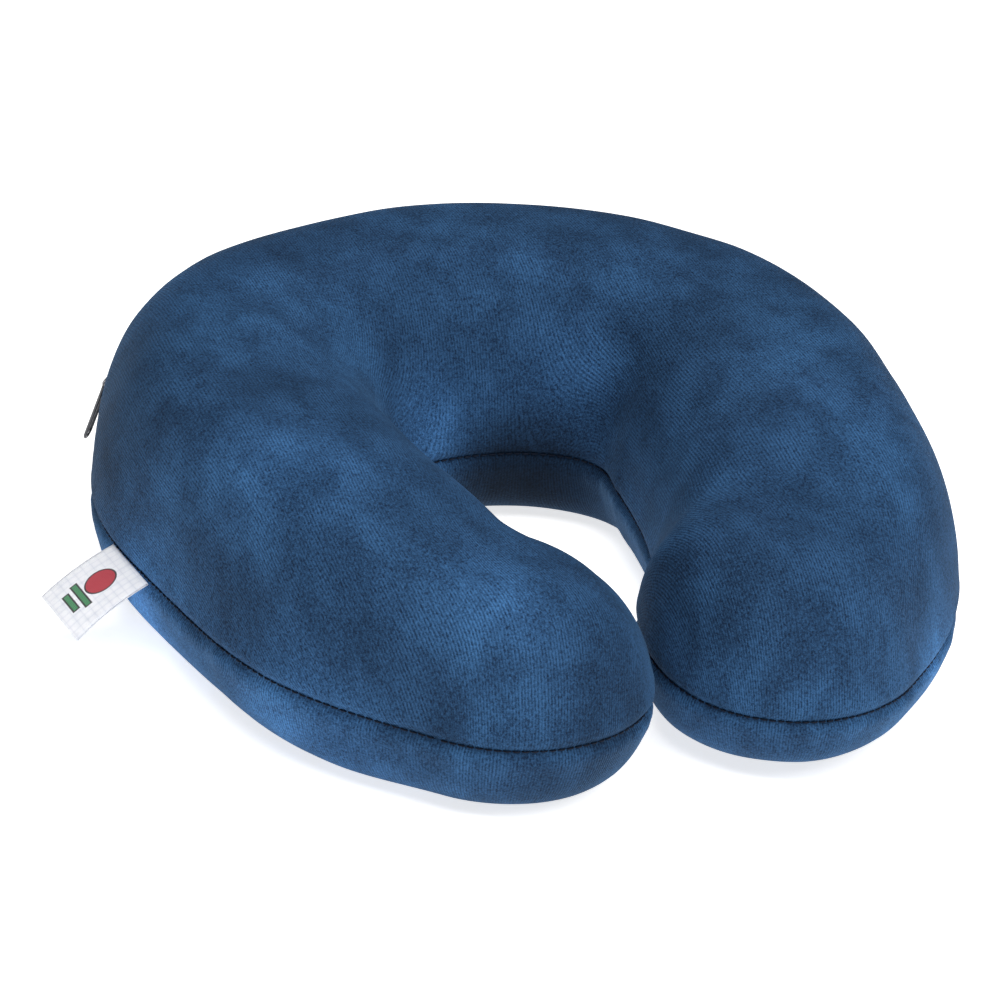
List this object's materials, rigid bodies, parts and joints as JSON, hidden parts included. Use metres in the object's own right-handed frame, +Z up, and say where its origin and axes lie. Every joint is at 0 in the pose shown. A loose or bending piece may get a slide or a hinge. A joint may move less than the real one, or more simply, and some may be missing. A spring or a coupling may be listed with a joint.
{
  "type": "u shaped neck pillow",
  "caption": "U shaped memory foam travel pillow in a zipped two-panel velour cover, with a sliding zip slider, a wire pull and a folded ribbon label",
  "frame": {"origin": "the middle of the neck opening, on the surface that the pillow lies on", "axes": "+Z up, +Y to the back of the neck, the open side of the U faces -Y, YZ is the plane of symmetry of the cushion"},
  "size_m": [0.3111, 0.3355, 0.097],
  "materials": {
    "velour_cover": "short-pile navy velour with fine wales",
    "sewing_thread": "dark polyester thread",
    "zip_tape": "woven polyester tape",
    "zip_coil": "nylon coil",
    "zip_metal": "black nickel",
    "label_ribbon": "white satin ribbon with a printed motif",
    "liner_jersey": "thin knitted jersey",
    "memory_foam": "moulded polyurethane foam"
  },
  "bodies": {
    "pillow": {"cover_top_panel": "velour_cover", "cover_bottom_panel": "velour_cover", "seam_thread": "sewing_thread", "zip_tape_upper": "zip_tape", "zip_tape_lower": "zip_tape", "zip_coil_upper": "zip_coil", "zip_coil_lower": "zip_coil", "zip_top_stops": "zip_metal", "zip_bottom_stop": "zip_metal", "ribbon_label": "label_ribbon", "inner_liner": "liner_jersey", "foam_core": "memory_foam"},
    "slider": {"zip_slider": "zip_metal"},
    "pull": {"zip_pull": "zip_metal"}
  },
  "joints": [
    {"name": "zip_slide", "type": "hinge", "parent": "pillow", "child": "slider", "pos_m": [0, 0.0233, 0.047], "axis": [0, 0, -1], "range_deg": [0, 113]},
    {"name": "pull_swing", "type": "hinge", "parent": "slider", "child": "pull", "pos_m": [-0.12362, 0.10358, 0.047], "axis": [0.5446, 0.8387, 0], "range_deg": [0, 135]}
  ]
}
